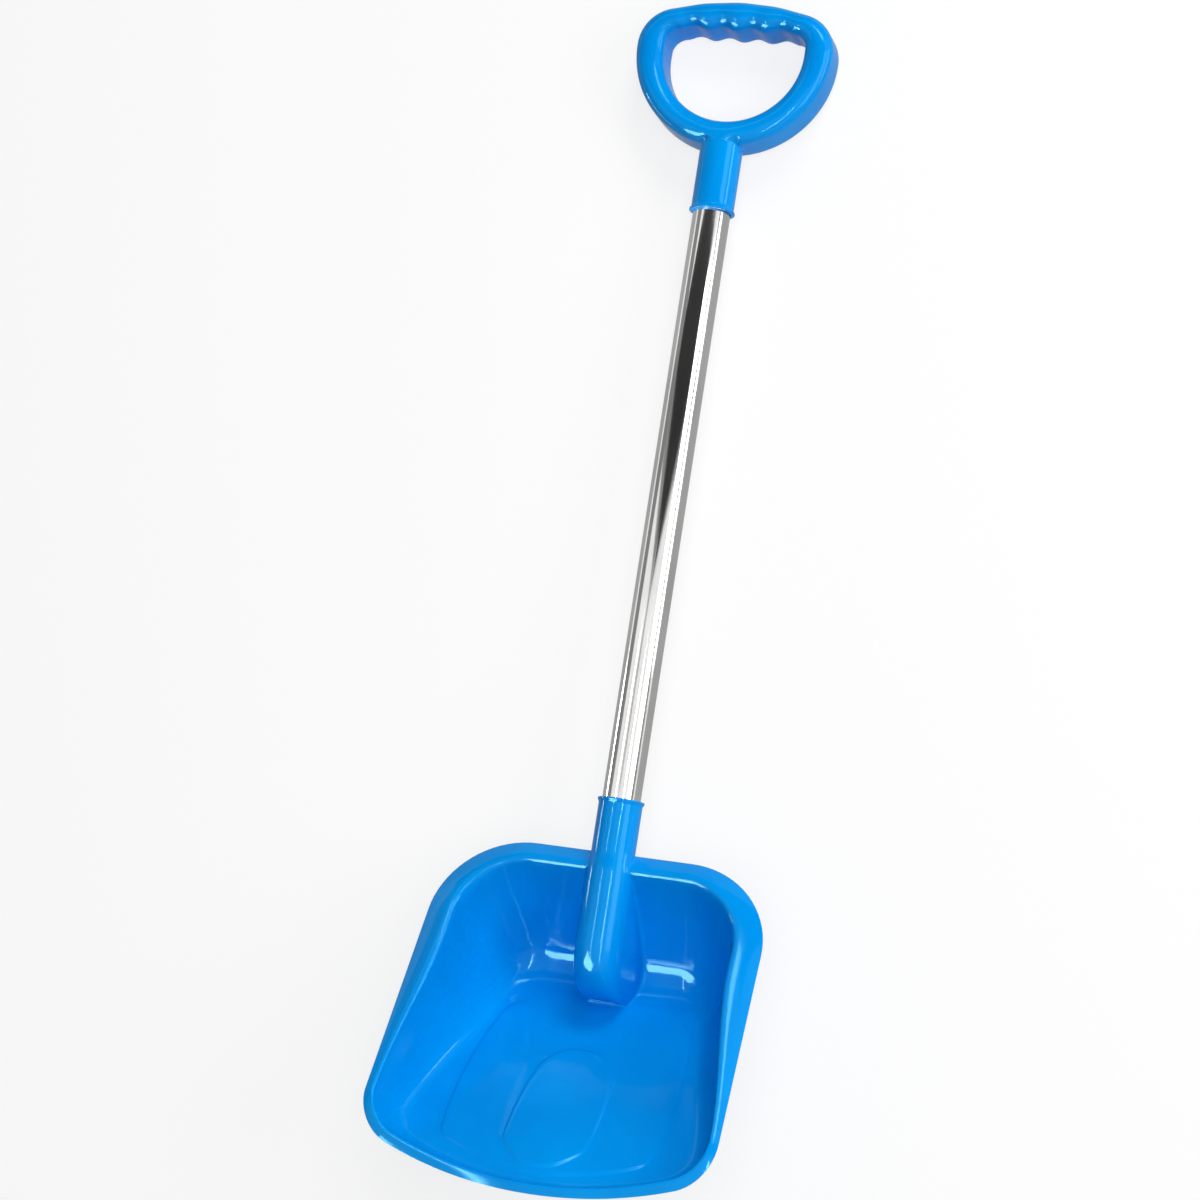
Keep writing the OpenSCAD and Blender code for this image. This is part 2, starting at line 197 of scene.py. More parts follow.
def stretchedNoise(tree, scale, detail, roughness, turn=(0, 0, 0)):
    # noise in metres of the piece, with its own scale along each axis
    place = addNode(tree, "ShaderNodeTexCoord", {})
    turned = addNode(tree, "ShaderNodeMapping", {"Vector": place.outputs["Object"],
                                                 "Rotation": turn, "Scale": scale})
    noise = addNode(tree, "ShaderNodeTexNoise", {"Vector": turned.outputs["Vector"], "Scale": 1.0,
                                                 "Detail": detail, "Roughness": roughness})
    return noise.outputs["Fac"]


def spread(tree, source, low, high):
    # stretches part of a value's range over 0 to 1
    return addNode(tree, "ShaderNodeMapRange", {"Value": source, "From Min": low, "From Max": high},
                   interpolation_type="SMOOTHSTEP").outputs[0]


def valueBetween(tree, amount, low, high):
    return addNode(tree, "ShaderNodeMapRange",
                   {"Value": amount, "To Min": low, "To Max": high}).outputs[0]


def sums(tree, operation, a, b):
    return addNode(tree, "ShaderNodeMath", {0: a, 1: b}, operation=operation).outputs[0]


def blend(tree, kind, amount, low, high):
    # kind is RGBA for colours and FLOAT for values
    return addNode(tree, "ShaderNodeMix", {"Factor": amount, "A": low, "B": high},
                   data_type=kind).outputs["Result"]


def bumpFrom(tree, height, depth):
    # depth in mm
    return addNode(tree, "ShaderNodeBump", {"Height": height, "Strength": 1.0,
                                            "Distance": depth * mm}).outputs["Normal"]


def newGroup(name, inputs, outputs):
    group = bpy.data.node_groups.new(name, "ShaderNodeTree")
    for label, value in inputs.items():
        plug = group.interface.new_socket(label, in_out="INPUT", socket_type="NodeSocketFloat")
        plug.default_value = value
    for label in outputs:
        group.interface.new_socket(label, in_out="OUTPUT", socket_type="NodeSocketFloat")
    return group, group.nodes.new("NodeGroupInput"), group.nodes.new("NodeGroupOutput")


# effects that several finishes share; a noise has its scale per metre, its detail and roughness
skinNoise = {
    "flow": ((14, 22, 22), 3.0, 0.55),
    "cloud": ((70, 70, 70), 2.0, 0.5),
    "peel": ((900, 900, 900), 1.0, 0.4),
    "range": (0.3, 0.7),
}
scratchNoise = {
    "lines": ((60, 3200, 3200), 2.0, 0.6),
    "turns": [(0.3, 0.2, 0.5), (0.3, 0.2, -0.8)],
    "lineRange": (0.66, 0.74),
    "patches": ((30, 30, 30), 2.0, 0.5),
    "patchRange": (0.45, 0.7),
}


def mouldedSkinGroup():
    # slow drift of a moulding's colour and gloss, and the fine peel of its surface
    group, given, out = newGroup("mouldedSkin", {"Drift": 1.0, "Peel": 1.0},
                                 ("Tone", "Gloss", "Height"))
    flow = stretchedNoise(group, *skinNoise["flow"])
    cloud = stretchedNoise(group, *skinNoise["cloud"])
    peel = stretchedNoise(group, *skinNoise["peel"])
    tone = spread(group, flow, *skinNoise["range"])
    feed(group, out, {
        "Tone": sums(group, "MULTIPLY", tone, given.outputs["Drift"]),
        "Gloss": spread(group, cloud, *skinNoise["range"]),
        "Height": sums(group, "MULTIPLY", peel, given.outputs["Peel"]),
    })
    return group


def handlingGroup():
    # short fine scratches in two directions, in patches
    group, given, out = newGroup("handlingMarks", {"Amount": 1.0}, ("Mask",))
    masks = []
    for turn in scratchNoise["turns"]:
        lines = stretchedNoise(group, *scratchNoise["lines"], turn)
        masks.append(spread(group, lines, *scratchNoise["lineRange"]))
    patches = stretchedNoise(group, *scratchNoise["patches"])
    where = spread(group, patches, *scratchNoise["patchRange"])
    marks = sums(group, "MULTIPLY", sums(group, "MAXIMUM", *masks), where)
    feed(group, out, {"Mask": sums(group, "MULTIPLY", marks, given.outputs["Amount"])})
    return group


mouldedSkin = mouldedSkinGroup()
handlingMarks = handlingGroup()


def newFinish(name):
    finish = bpy.data.materials.new(name)
    finish.use_nodes = True
    tree = finish.node_tree
    return finish, tree, tree.nodes["Principled BSDF"]


def placeGroup(tree, group, **values):
    return addNode(tree, "ShaderNodeGroup", values, node_tree=group).outputs


# glossy blue of both mouldings
bluePlastic = {
    "deep": (0.0, 0.25, 0.72, 1),
    "bright": (0.0, 0.29, 0.79, 1),
    "drift": 1.0,          # how far the colour wanders from deep to bright
    "rubbed": (0.05, 0.36, 0.88, 1),
    "rubbedShare": 0.35,   # how much of that colour a scratch shows
    "roughness": (0.05, 0.1),
    "rubbedRoughness": 0.3,
    "ior": 1.36,
    "highlight": (0.3, 0.85, 1.0, 1),    # tint of its reflections
    "peel": 0.003,         # depth of the surface's fine peel, mm
    "scratch": 0.006,      # depth of the scratches, mm
    "scoopMarks": 0.7,
    "gripMarks": 0.5,
}


def bluePlasticFinish(name, marks):
    finish, tree, shader = newFinish(name)
    skin = placeGroup(tree, mouldedSkin, Drift=bluePlastic["drift"])
    scratched = placeGroup(tree, handlingMarks, Amount=marks)["Mask"]
    tone = blend(tree, "RGBA", skin["Tone"], bluePlastic["deep"], bluePlastic["bright"])
    share = sums(tree, "MULTIPLY", scratched, bluePlastic["rubbedShare"])
    gloss = valueBetween(tree, skin["Gloss"], *bluePlastic["roughness"])
    cut = sums(tree, "MULTIPLY", scratched, bluePlastic["scratch"] / bluePlastic["peel"])
    height = sums(tree, "SUBTRACT", skin["Height"], cut)
    feed(tree, shader, {
        "Base Color": blend(tree, "RGBA", share, tone, bluePlastic["rubbed"]),
        "Roughness": blend(tree, "FLOAT", scratched, gloss, bluePlastic["rubbedRoughness"]),
        "IOR": bluePlastic["ior"],
        "Specular Tint": bluePlastic["highlight"],
        "Normal": bumpFrom(tree, height, bluePlastic["peel"]),
    })
    return finish


# chromed tube, drawn and polished along its length
brightMetal = {
    "low": (0.72, 0.72, 0.71, 1),
    "high": (0.86, 0.86, 0.85, 1),
    "drift": 1.0,
    "roughness": (0.08, 0.14),
    "lines": ((4, 450, 450), 2.0, 0.5),  # drawing lines, a noise as above
    "lineRange": (0.3, 0.7),
    "lineShare": 0.5,      # of the roughness
    "depth": 0.0008,       # of the lines, mm
    "marks": 0.6,
}


def brightMetalFinish():
    finish, tree, shader = newFinish("brightMetal")
    drawn = stretchedNoise(tree, *brightMetal["lines"], (0, tilt, 0))
    lines = spread(tree, drawn, *brightMetal["lineRange"])
    scratched = placeGroup(tree, handlingMarks, Amount=brightMetal["marks"])["Mask"]
    tone = placeGroup(tree, mouldedSkin, Drift=brightMetal["drift"])["Tone"]
    worn = sums(tree, "MAXIMUM", sums(tree, "MULTIPLY", lines, brightMetal["lineShare"]), scratched)
    feed(tree, shader, {
        "Base Color": blend(tree, "RGBA", tone, brightMetal["low"], brightMetal["high"]),
        "Roughness": valueBetween(tree, worn, *brightMetal["roughness"]),
        "Metallic": 1.0,
        "Normal": bumpFrom(tree, lines, brightMetal["depth"]),
    })
    return finish


# zinc plate of the two screws
zincPlate = {
    "low": (0.5, 0.5, 0.5, 1),
    "high": (0.68, 0.68, 0.66, 1),
    "roughness": (0.25, 0.5),
    "grain": 1.0,
    "depth": 0.01,         # of the grain, mm
    "marks": 1.0,
}


def zincPlateFinish():
    finish, tree, shader = newFinish("zincPlate")
    grain = placeGroup(tree, mouldedSkin, Peel=zincPlate["grain"])["Height"]
    scratched = placeGroup(tree, handlingMarks, Amount=zincPlate["marks"])["Mask"]
    feed(tree, shader, {
        "Base Color": blend(tree, "RGBA", grain, zincPlate["low"], zincPlate["high"]),
        "Roughness": valueBetween(tree, scratched, *zincPlate["roughness"]),
        "Metallic": 1.0,
        "Normal": bumpFrom(tree, grain, zincPlate["depth"]),
    })
    return finish


scoopBlue = bluePlasticFinish("scoopBlue", bluePlastic["scoopMarks"])
gripBlue = bluePlasticFinish("gripBlue", bluePlastic["gripMarks"])
tubeChrome = brightMetalFinish()
screwZinc = zincPlateFinish()
print("finishes made")

# sockets of both mouldings, sizes in mm
socket = {
    "play": 0.05,          # round the tube
    "wall": 1.3,
    "end": 1.6,            # closed end past the tube
    "beadOut": 0.8,        # flared bead at the mouth
    "beadLength": 2.6,
    "lipRound": 0.5,
    "mouthSteps": 4,
    "lipSteps": 6,
    "flareSteps": 8,
    "sides": 128,
}
boreRadius = tubeRadius + socket["play"]
socketRadius = boreRadius + socket["wall"]
beadRadius = socketRadius + socket["beadOut"]


def socketProfile(mouth, bore, solid, way):
    # from the middle of the bore's end, over the mouth and its bead, to the middle of the outer end
    lip, steps = socket["lipRound"], socket["flareSteps"]
    inside = [(bore, 0), (bore, boreRadius)]
    mouthIn = roundCorner((lip, boreRadius + lip), lip, 270, 180, socket["mouthSteps"])
    mouthOut = roundCorner((lip, beadRadius - lip), lip, 180, 90, socket["lipSteps"])
    flare = []
    for i in range(1, steps + 1):
        t = i / steps
        flare.append((mix(lip, socket["beadLength"], t),
                      socketRadius + socket["beadOut"] * (1 - ease(t))))
    outside = [(bore / 2, socketRadius), (solid, socketRadius), (solid, 0)]
    profile = inside + mouthIn + mouthOut + flare + outside
    return [(mouth + way * along, radius) for along, radius in profile]


# screws, and the flat pad under each head, sizes in mm
screw = {
    "diameter": 3.5,
    "length": 6.5,
    "headDiameter": 6.8,
    "headHeight": 2.0,
    "padOut": 0.6,
    "padSunkShare": 1.6,   # of the socket's wall
    "padRound": 0.35,
    "padRoundSteps": 4,
    "padSides": 64,
    "inScoopAt": 12.0,     # from the mouth of the scoop's socket
    "inGripAt": 15.0,      # from the mouth of the grip's socket
    "threadPitch": 1.25,
    "threadDepth": 0.35,
    "threadShares": (0.35, 0.85),  # root and crest, of the pitch
    "tipShare": 0.4,       # bare end, of the diameter
    "slotReach": 1.7,      # cross recess, from its middle to its end
    "slotHalf": 0.42,
    "slotDepth": 1.1,
    "slotFlare": 1.15,     # mouth of the recess over its bottom
    "dome": [(0.62, 0.0), (0.8, 0.16), (0.92, 0.36), (0.99, 0.62), (1.0, 0.8), (0.985, 1.0)],
    "sides": 48,
}
padRadius = screw["headDiameter"] / 2 + screw["padOut"]
padFace = -socketRadius - screw["padOut"]


def padPart(at):
    bm = bmesh.new()
    depth = screw["padOut"] + socket["wall"] * screw["padSunkShare"]
    bmesh.ops.create_cone(bm, cap_ends=True, segments=screw["padSides"], radius1=padRadius,
                          radius2=padRadius, depth=depth,
                          matrix=Matrix.Translation((at, 0, padFace + depth / 2)))
    rim = [e for e in bm.edges if all(v.co.z < padFace + depth / 2 for v in e.verts)]
    bmesh.ops.bevel(bm, geom=rim, offset=screw["padRound"], affect="EDGES",
                    segments=screw["padRoundSteps"], profile=0.5, material=-1)
    return closeUp(bm)


# scoop, in mm and degrees: its plan runs from the rear edge to the front, its heights square to the rim
scoop = {
    "rimAngle": 24.5,
    "floorAngle": 20.0,
    "length": 178.0,
    "rearWidth": 166.0,
    "frontWidth": 175.0,
    "rearRadius": 44.0,
    "crestRadius": 34.0,
    "floorRadius": 14.0,
    "frontRadius": 25.0,
    "frontCrestRadius": 22.0,
    "frontFloorRadius": 16.0,
    "frontBow": 12.5,
    "wall": 2.2,
    "rimWidth": 12.5,      # sloping band at the sides, and at the rear
    "rearRimWidth": 10.8,
    "rimRise": 4.5,
    "rearRun": 40.0,       # how far the rear wall comes inward
    "frontDrop": 7.0,      # dip of the rim at the front
    "lipWidth": 4.0,       # what the band narrows to
    "lipRise": 1.2,
    "lipDown": 1.5,
    "lipRun": 5.0,
    "sideFoot": 7.0,
    "socketOut": 26.2,     # from the socket's mouth to the rear edge
    "rearEdgeDrop": 2.6,   # rear edge below the tube's axis
    "taperFrom": 0.3,      # shares of the length
    "taperTo": 0.8,
    "dropFrom": 0.8,
    "sideRun": 0.27,       # of the side wall's height
    "wallFoot": 0.46,      # handles of the wall's curve
    "wallPull": 0.72,
    "bandAcross": [0, 0.3, 0.62, 0.86, 1.02, 1.12],    # the band's section, in its width and rise
    "bandRise": [0, 0.42, 0.8, 1, 0.94, 0.62],
    "rimRound": 0.85,
    "rimRoundSteps": 4,
    "rimEdgeTurn": 60.0,   # edges that turn more than this are rounded
    "boreSpare": 0.1,      # kept clear round the tube's bore
    "socketSpare": 0.5,
    "bandSteps": 4,
    "wallSteps": 44,
    "cornerSteps": 18,
    "sideSteps": 26,
    "frontCornerSteps": 12,
    "frontSteps": 16,
}
# raised floor panels, in shares of the scoop's length and widths; the first one's step fades out
# behind its rear corners and runs ahead of the boss
panels = [
    {"rear": 0.31, "front": 0.93, "rearWide": 0.55, "frontWide": 0.56, "bow": 0.04, "round": 0.35,
     "rowsOutside": 2, "fadeTurn": 80.0, "aheadOfBoss": True},
    {"rear": 0.487, "front": 0.912, "rearWide": 0.2, "frontWide": 0.22, "bow": 0.023, "round": 0.95,
     "rowsOutside": 5, "fadeTurn": 0.0, "aheadOfBoss": False},
]
panelStep = {
    "rise": 0.8,
    "width": 1.8,
    "steps": 4,
    "frontRadius": 9.0,
    "bossGap": 3.0,
    "flatInset": 3.6,      # last ring, inside the inner panel
}
boss = {
    "out": 1.0,            # past the socket's radius
    "proud": 0.04,         # over the socket where the two run together
    "draft": 4.0,
    "sineLimit": 0.95,     # keeps a low section's side from lying flat
    "fillet": 2.4,
    "bandFillet": 1.6,
    "noseLength": 36.0,
    "nosePower": 3.2,
    "noseWidth": 0.78,
    "narrowPower": 4,
    "crownShare": 0.7,
    "crownSteps": 12,
    "sideSteps": 8,
    "filletSteps": 7,
    "besideSteps": 11,
    "straightRows": 14,
    "toeRows": 6,
}
bossRadius = socketRadius + boss["out"]
noseFrom = tube["inScoop"] + socket["end"]
rimAngle, floorAngle = math.radians(scoop["rimAngle"]), math.radians(scoop["floorAngle"])
draft = math.radians(boss["draft"])


def outerHalf(s):
    return mix(scoop["rearWidth"], scoop["frontWidth"], s / scoop["length"]) / 2


def frontPart(s):
    start, end = scoop["length"] * scoop["taperFrom"], scoop["length"] * scoop["taperTo"]
    return ramp(s, start, end)


def bandWidth(s):
    return mix(scoop["rimWidth"], scoop["lipWidth"], frontPart(s))


def edgeHeight(s):
    return -scoop["frontDrop"] * ramp(s, scoop["length"] * scoop["dropFrom"], scoop["length"])


def riseHeight(s):
    return mix(scoop["rimRise"], scoop["lipRise"], frontPart(s))


def floorHeight(s):
    return -scoop["frontDrop"] - scoop["lipDown"] - (scoop["length"] - s) * math.tan(floorAngle)


def sideRun(s):
    return (scoop["sideFoot"]
            + (edgeHeight(s) + riseHeight(s) - floorHeight(s)) * scoop["sideRun"])


def seat(s, y, n):
    # from the scoop's own plan to places along the tube
    return Vector((-scoop["socketOut"] - s * math.cos(rimAngle) + n * math.sin(rimAngle), y,
                   -scoop["rearEdgeDrop"] + s * math.sin(rimAngle) + n * math.cos(rimAngle)))


def bend(t, first, second):
    # curve from 0 to 1 with two handles
    return 3 * (1 - t) ** 2 * t * first + 3 * (1 - t) * t * t * second + t ** 3


def roundedPlan(rear, rearRound, front, frontRound, half):
    # half of a plan, from the end of the straight rear round the side to the middle of the front
    wide = half(rear + rearRound)
    bow = scoop["frontBow"]
    lean = math.atan((half(front - bow - frontRound) - frontRound) / (2 * bow))
    corner = front - bow - frontRound * math.sin(lean)
    side = half(corner)
    frontHalf = side - frontRound + frontRound * math.cos(lean)
    plan = []
    for i in range(scoop["cornerSteps"] + 1):
        a = math.pi / 2 * i / scoop["cornerSteps"]
        s = rear + rearRound * (1 - math.cos(a))
        plan.append((s, (wide - rearRound + rearRound * math.sin(a)) * half(s) / wide))
    for i in range(1, scoop["sideSteps"]):
        s = mix(rear + rearRound, corner, i / scoop["sideSteps"])
        plan.append((s, half(s)))
    for i in range(scoop["frontCornerSteps"] + 1):
        a = lean * i / scoop["frontCornerSteps"]
        plan.append((corner + frontRound * math.sin(a),
                     side - frontRound + frontRound * math.cos(a)))
    for i in range(1, scoop["frontSteps"] + 1):
        t = 1 - i / scoop["frontSteps"]
        plan.append((front - bow * t * t, frontHalf * t))
    return plan


def bandRow(across, rise):
    plan = roundedPlan(
        across * scoop["rearRimWidth"], mix(scoop["rearRadius"], scoop["crestRadius"], across),
        scoop["length"] - across * scoop["lipWidth"],
        mix(scoop["frontRadius"], scoop["frontCrestRadius"], across),
        lambda s: outerHalf(s) - across * bandWidth(s))
    return [seat(s, y, edgeHeight(s) + riseHeight(s) * rise) for s, y in plan]


def wallRow(t):
    across, rise = scoop["bandAcross"][-1], scoop["bandRise"][-1]
    foot, pull = scoop["wallFoot"], scoop["wallPull"]
    inward = bend(t, foot * pull, mix(1, foot, pull))
    down = bend(t, pull, 1)
    plan = roundedPlan(
        across * scoop["rearRimWidth"] + inward * scoop["rearRun"],
        mix(scoop["crestRadius"], scoop["floorRadius"], inward),
        scoop["length"] - across * scoop["lipWidth"] - inward * scoop["lipRun"],
        mix(scoop["frontCrestRadius"], scoop["frontFloorRadius"], inward),
        lambda s: outerHalf(s) - across * bandWidth(s) - inward * sideRun(s))
    return [seat(s, y, mix(edgeHeight(s) + riseHeight(s) * rise, floorHeight(s), down))
            for s, y in plan]


def panelRow(panel, inset, lift):
    # outline of a floor panel, moved inward and lifted
    rear = panel["rear"] * scoop["length"] + inset
    front = panel["front"] * scoop["length"] - inset
    rearHalf = panel["rearWide"] * scoop["rearWidth"] / 2 - inset
    frontHalf = panel["frontWide"] * scoop["frontWidth"] / 2 - inset
    bow = panel["bow"] * scoop["frontWidth"] * 4

    def half(s):
        t = (s - rear) / (front - rear)
        return mix(rearHalf, frontHalf, t) + bow * t * (1 - t)

    plan = roundedPlan(rear, rearHalf * panel["round"], front, panelStep["frontRadius"], half)
    row = []
    for i, (s, y) in enumerate(plan):
        turn = 90 * i / scoop["cornerSteps"]
        grown = ease(turn / panel["fadeTurn"]) if panel["fadeTurn"] else 1
        row.append(seat(s, y, floorHeight(s) + lift * grown))
    return row


# the middle of the rear, from its edge over the crest and down the wall to the floor
bandSteps, wallSteps = scoop["bandSteps"], scoop["wallSteps"]
bandRows = [bandRow(a, r) for a, r in zip(flowThrough(scoop["bandAcross"], bandSteps),
                                          flowThrough(scoop["bandRise"], bandSteps))]
wallRows = [wallRow(i / wallSteps) for i in range(1, wallSteps + 1)]
floorEnd = seat(scoop["length"] / 2, 0, floorHeight(scoop["length"] / 2))
rearLine = sorted((row[0].x, row[0].z) for row in bandRows + wallRows)
rearLine.insert(0, (floorEnd.x, floorEnd.z))


def rearHeight(x):
    k = max(1, min(len(rearLine) - 1, bisect.bisect(rearLine, (x, 0))))
    (x0, z0), (x1, z1) = rearLine[k - 1], rearLine[k]
    return mix(z0, z1, (x - x0) / (x1 - x0))


def bossHalf(base, radius, fillet):
    # half a section of the boss, from its crown down the drafted side and out along the fillet
    lean = (base + fillet) / (radius + fillet)
    turn = max(draft, math.asin(max(0.0, min(boss["sineLimit"], lean))))
    out = Vector((math.cos(turn), math.sin(turn)))
    centre = Vector(((radius + fillet - (base + fillet) * out.y) / out.x, base + fillet))
    foot = centre - fillet * out
    split = mix(math.pi / 2, turn, boss["crownShare"])
    half = [Vector((radius * math.cos(a), radius * math.sin(a)))
            for a in (mix(math.pi / 2, split, i / boss["crownSteps"])
                      for i in range(boss["crownSteps"] + 1))]
    arc, line = radius * (split - turn), (foot - radius * out).length
    for i in range(1, boss["sideSteps"] + 1):
        gone = (arc + line) * i / boss["sideSteps"]
        if gone <= arc:
            a = split - gone / radius
            half.append(Vector((radius * math.cos(a), radius * math.sin(a))))
        else:
            half.append((radius * out).lerp(foot, (gone - arc) / line))
    for i in range(1, boss["filletSteps"] + 1):
        a = mix(math.pi + turn, 1.5 * math.pi, i / boss["filletSteps"])
        half.append(centre + fillet * Vector((math.cos(a), math.sin(a))))
    return half


def noseRows(count):
    # stations of the rounded nose: place along the tube and share of the boss's full height
    power, fillet = boss["nosePower"], boss["fillet"]
    tipHeight = bossRadius - rearHeight(-noseFrom - boss["noseLength"])
    toeShare = fillet / tipHeight
    lastTurn = math.acos(toeShare ** (power / 2))
    rows = []
    mainRows = count - boss["toeRows"]
    for i in range(1, mainRows + 1):
        a = lastTurn * i / mainRows
        rows.append((-noseFrom - boss["noseLength"] * math.sin(a) ** (2 / power),
                     math.cos(a) ** (2 / power)))
    for i in range(1, boss["toeRows"] + 1):
        a = math.pi / 2 * i / boss["toeRows"]
        share = toeShare * (1 - math.sin(a))
        reach = boss["noseLength"] * (1 - share ** power) ** (1 / power)
        rows.append((-noseFrom - reach - fillet * (1 - math.cos(a)), share))
    return rows


bandStart, wallStart = bandRows[0][0].x, bandRows[-1][0].x
straightRows = boss["straightRows"]
bossStations = [(mix(wallStart, -noseFrom, i / straightRows), 1.0)
                for i in range(1, straightRows + 1)]
bossStations += noseRows(wallSteps - straightRows)


def rearColumns(row, x, share):
    # columns from the crown of the boss to where the rear corner starts
    onBand = ramp(x, bandStart, wallStart)
    radius = mix(socketRadius + boss["proud"], bossRadius, onBand)
    fillet = mix(boss["bandFillet"], boss["fillet"], onBand)
    base = rearHeight(x)
    reach = max(0.0, min(1.0, (-x - noseFrom) / boss["noseLength"]))
    narrow = math.sqrt(1 - (1 - boss["noseWidth"] ** 2) * reach ** boss["narrowPower"])
    columns = [Vector((x, p.x * narrow, mix(base, p.y, share)))
               for p in bossHalf(base, radius, fillet)]
    footY, endY, endX = columns[-1].y, row[0].y, row[0].x
    for i in range(1, boss["besideSteps"]):
        t = i / boss["besideSteps"]
        along = mix(x, endX, ease(t))
        columns.append(Vector((along, mix(footY, endY, t), rearHeight(along))))
    return columns


def flatColumns(row, pattern, lead):
    # the same columns where the floor is flat; lead keeps them ahead of the boss
    endY = pattern[-1].y * boss["besideSteps"] / (boss["besideSteps"] - 1)
    lift = row[0].z - floorPlane(row[0].x)
    columns = []
    for p in pattern:
        x = row[0].x - lead * (1 - ease(p.y / pattern[-1].y))
        columns.append(Vector((x, p.y / endY * row[0].y, floorPlane(x) + lift)))
    return columns


def floorPlane(x):
    a, b = seat(0, 0, floorHeight(0)), seat(scoop["length"], 0, floorHeight(scoop["length"]))
    return mix(a.z, b.z, (x - a.x) / (b.x - a.x))


def wholeRing(half):
    return half + [Vector((p.x, -p.y, p.z)) for p in half[-2:0:-1]]


def between(first, second, count):
    return [[a.lerp(b, i / (count + 1)) for a, b in zip(first, second)]
            for i in range(1, count + 1)]


def scoopHalves():
    halves = [rearColumns(row, row[0].x, 1.0) + row for row in bandRows]
    halves += [rearColumns(row, *station) + row for row, station in zip(wallRows, bossStations)]
    pattern = halves[-1][:-len(wallRows[-1])]
    toeX = pattern[0].x
    steps, step = panelStep["steps"], panelStep["width"]
    for k, panel in enumerate(panels):
        rows = []
        for i in range(steps + 1):
            inset = step * i / steps
            row = panelRow(panel, inset, panelStep["rise"] * (k + ease(i / steps)))
            ahead = 0.0
            if panel["aheadOfBoss"]:
                ahead = max(0.0, row[0].x - toeX + panelStep["bossGap"]) + inset
            rows.append(flatColumns(row, pattern, ahead) + row)
        halves += between(halves[-1], rows[0], panel["rowsOutside"]) + rows
    # one more ring inside the last panel keeps its middle flat
    inner = panelRow(panels[-1], panelStep["flatInset"], panelStep["rise"] * len(panels))
    halves.append(flatColumns(inner, pattern, 0) + inner)
    return halves


def thickSheet(bm, thickness, weights):
    # wall under the sheet, thinner where the weights say so
    mesh = bpy.data.meshes.new("scoopSheet")
    bm.to_mesh(mesh)
    bm.free()
    sheet = bpy.data.objects.new("scoopSheet", mesh)
    scene.collection.objects.link(sheet)
    group = sheet.vertex_groups.new(name="wallShare")
    for index, weight in enumerate(weights):
        group.add([index], weight, "REPLACE")
    wall = sheet.modifiers.new("wall", "SOLIDIFY")
    wall.thickness, wall.offset = thickness, -1
    wall.use_even_offset = False
    wall.use_quality_normals = True
    wall.vertex_group = "wallShare"
    solid = bmesh.new()
    solid.from_object(sheet, bpy.context.evaluated_depsgraph_get())
    bpy.data.objects.remove(sheet)
    bpy.data.meshes.remove(mesh)
    return solid


def scoopMoulding():
    halves = scoopHalves()
    bm = bmesh.new()
    last = extrudeThrough(bm, [wholeRing(half) for half in halves])
    bmesh.ops.contextual_create(bm, geom=ringEdges(bm, last))
    bmesh.ops.recalc_face_normals(bm, faces=bm.faces)
    if sum(face.normal.z * face.calc_area() for face in bm.faces) < 0:
        bmesh.ops.reverse_faces(bm, faces=bm.faces)
    bm.verts.index_update()
    # over the socket the wall is the socket's own, so that the tube stays clear
    clear = (bossRadius - boreRadius - scoop["boreSpare"]) / scoop["wall"]
    thin = (socket["wall"] - scoop["boreSpare"]) / scoop["wall"]
    weights = []
    for vert in bm.verts:
        away = math.hypot(vert.co.y, vert.co.z)
        over = vert.co.x > -noseFrom and away < bossRadius + scoop["socketSpare"]
        onBand = ramp(vert.co.x, bandStart, wallStart)
        weights.append(min(1.0, mix(thin, clear, onBand)) if over else 1.0)
    bm = thickSheet(bm, scoop["wall"], weights)
    rim = [e for e in bm.edges if len(e.link_faces) == 2
           and e.calc_face_angle() > math.radians(scoop["rimEdgeTurn"])]
    bmesh.ops.bevel(bm, geom=rim, offset=scoop["rimRound"], affect="EDGES",
                    segments=scoop["rimRoundSteps"], profile=0.5, material=-1, clamp_overlap=True)
    addInto(bm, spinProfile(socketProfile(0, tube["inScoop"], noseFrom, -1), socket["sides"]))
    addInto(bm, padPart(-screw["inScoopAt"]))
    finishPiece(bm, "scoopMoulding", scoopBlue, "scoop")


scoopMoulding()

# grip, in mm: the ring of the D from its foot round one side to the middle of the bar
grip = {
    "socketLength": 33.7,
    "width": 102.4,
    "openingWidth": 73.6,
    "depth": 23.0,
    "openingHeight": 48.0,
    "web": 12.9,
    "bar": 15.3,
    "shoulderRadius": 20.0,
    "openingRadius": 8.0,
    "shoulderTurn": 74.0,  # where the shoulder runs into the crowned bar
    "barCrown": 4.5,
    "faceRise": 5.75,      # rounded front of the section
    "wall": 2.4,
    "backLip": (1.9, 3.0), # round of the open back's edge, across and deep
    "groovePitch": 15.0,
    "grooveDepth": 1.9,
    "waveShare": 0.35,     # how much of a groove shows on the front face
    "set": 1.0,            # behind the tube's axis
    "ribWidth": 1.8,
    "ribInset": 3.0,
    "ribsAt": [0.357, 0.714, 1.333, 2.4375, 2.9375],   # stations, as in gripStation
    "footFillet": 2.2,     # hollow curve at both sides of the socket
    "footPower": 3,        # how fast it dies out toward the front and back
    "footSunk": 0.3,
    "footUnder": 0.05,
    "footSides": 96,
    "footSteps": 8,
    "footBlend": 1.8,      # how softly the face runs onto the socket
    "socketReach": 3.0,    # how far the socket's round runs on under the face
    "liftOver": 0.05,
    "liftShares": (0.25, 0.65),    # of the section's width, where the face starts and ends rising
    "tuckShares": (0.7, 1.0),      # the same, for its edge going under
    "tuckInside": (2.5, 0.5),      # from the socket's side, where the tuck dies out
    "tuckUnder": 0.2,
    "sideFall": 2.0,       # slope past the socket's side
    "lowSteps": 44,
    "shoulderSteps": 16,
    "barSteps": 60,
    "faceSteps": 26,
    "sideSteps": 3,
    "lipSteps": 4,
    "roofSteps": 10,
}
gripMouth = tube["free"]
